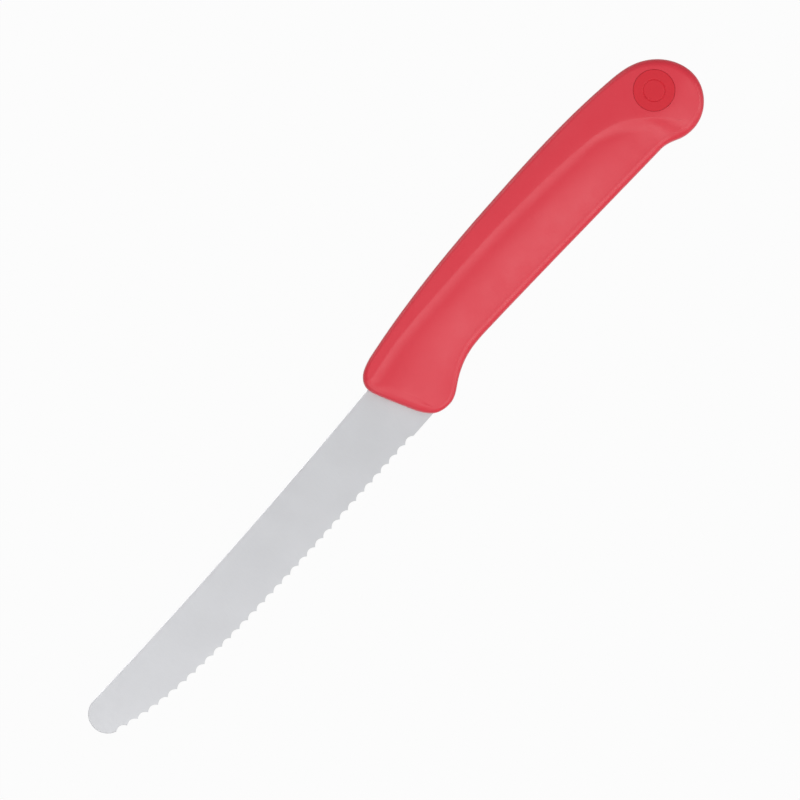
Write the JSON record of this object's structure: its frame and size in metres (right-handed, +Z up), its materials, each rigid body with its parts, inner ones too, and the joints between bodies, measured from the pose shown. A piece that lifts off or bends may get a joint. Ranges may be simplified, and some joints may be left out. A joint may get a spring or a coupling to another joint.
{
  "type": "breakfast knife",
  "caption": "Breakfast knife with a serrated, round-ended steel blade in a soft red moulded handle with a finger scoop, a front guard and an inlaid disc.",
  "frame": {"origin": "centre of the bounding box in X and Y, on the surface that the knife lies on", "axes": "the knife lies on its side: +X from the tip to the butt, +Y from the cutting edge to the spine, +Z up, out of the side with the disc"},
  "size_m": [0.22, 0.0256, 0.0136],
  "materials": {
    "blade_steel": "fine satin, ground on the far side of the edge",
    "core_plastic": "moulded, hidden inside the handle",
    "grip_plastic": "soft satin, coral red",
    "medallion_plastic": "satin, slightly deeper red"
  },
  "bodies": {
    "root": {"blade": "blade_steel", "handle_core": "core_plastic", "handle_grip": "grip_plastic", "medallion": "medallion_plastic"}
  },
  "joints": []
}
